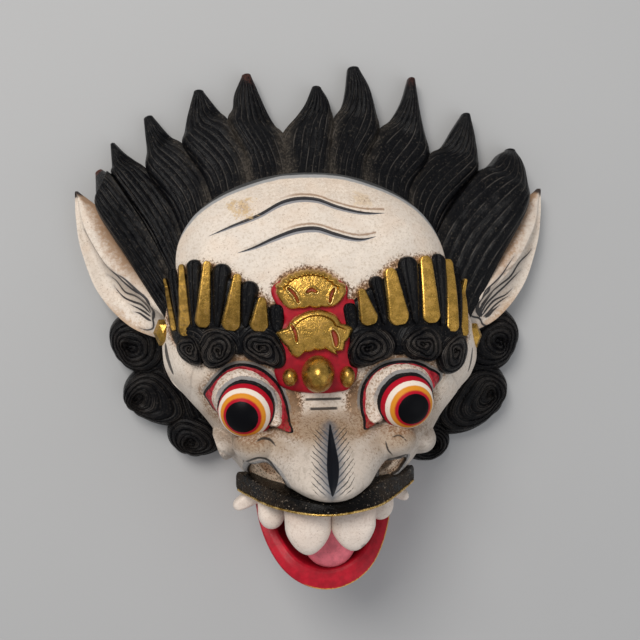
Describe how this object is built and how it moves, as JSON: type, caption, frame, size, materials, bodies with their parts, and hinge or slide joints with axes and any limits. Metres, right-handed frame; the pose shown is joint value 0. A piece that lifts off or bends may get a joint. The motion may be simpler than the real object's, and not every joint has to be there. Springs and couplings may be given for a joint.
{
  "type": "barong mask",
  "caption": "Carved and painted wooden demon mask with a flame crown, plumed brows, bulging eyes and an open jaw, hollow behind and flat at the back.",
  "frame": {"origin": "middle of the flat back on the plane the mask lies on", "axes": "+Z out of the face, +Y towards the top of the head, +X to a viewer's right"},
  "size_m": [0.2892, 0.303, 0.1253],
  "materials": {
    "mask": "hand painted, matte, with gold leaf on the ornaments and plain wood at the back"
  },
  "bodies": {
    "root": {"mask": "mask"}
  },
  "joints": []
}
